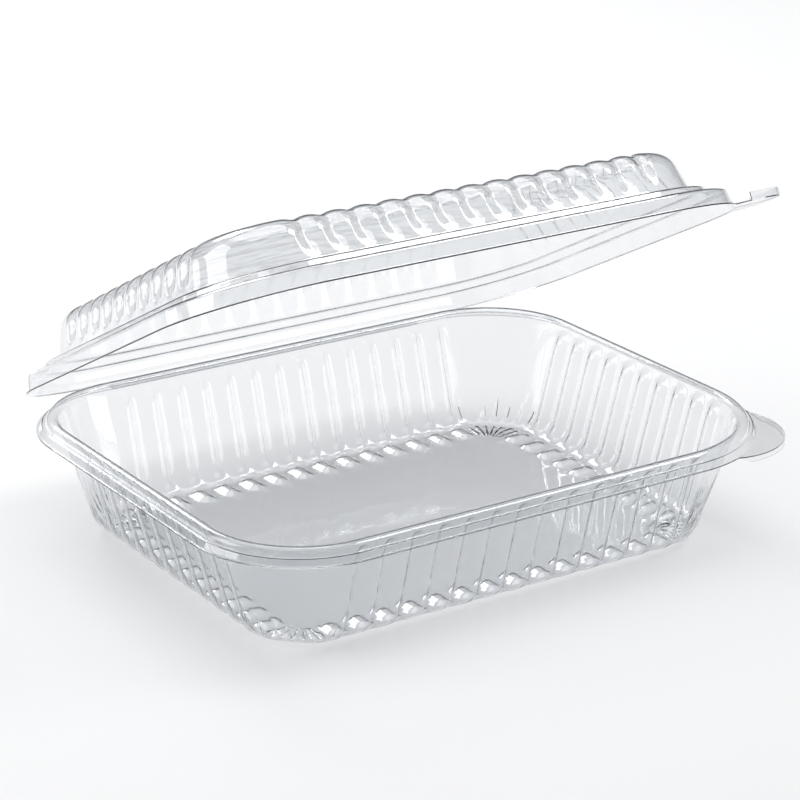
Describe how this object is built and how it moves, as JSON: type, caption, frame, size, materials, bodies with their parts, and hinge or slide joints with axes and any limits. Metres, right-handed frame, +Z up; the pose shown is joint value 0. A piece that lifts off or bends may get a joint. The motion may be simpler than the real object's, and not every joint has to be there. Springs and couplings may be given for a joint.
{
  "type": "hinged food container",
  "caption": "Shallow clear hinged food container: fluted tray with a rounded rim, domed fluted lid joined along the back edge, and two opening tabs at one front corner.",
  "frame": {"origin": "middle of the tray's flat underside", "axes": "+X along the long sides towards the opening tabs' end, -Y towards the front, +Z up"},
  "size_m": [0.2196, 0.1731, 0.1266],
  "materials": {
    "clear_sheet": "clear, smooth and glossy thermoformed sheet"
  },
  "bodies": {
    "tray": {"tray": "clear_sheet"},
    "lid": {"lid": "clear_sheet"}
  },
  "joints": [
    {"name": "lid_hinge", "type": "hinge", "parent": "tray", "child": "lid", "pos_m": [0, 0.0874, 0.03528], "axis": [-1, 0, 0], "range_deg": [-27.5, 152.5]}
  ]
}
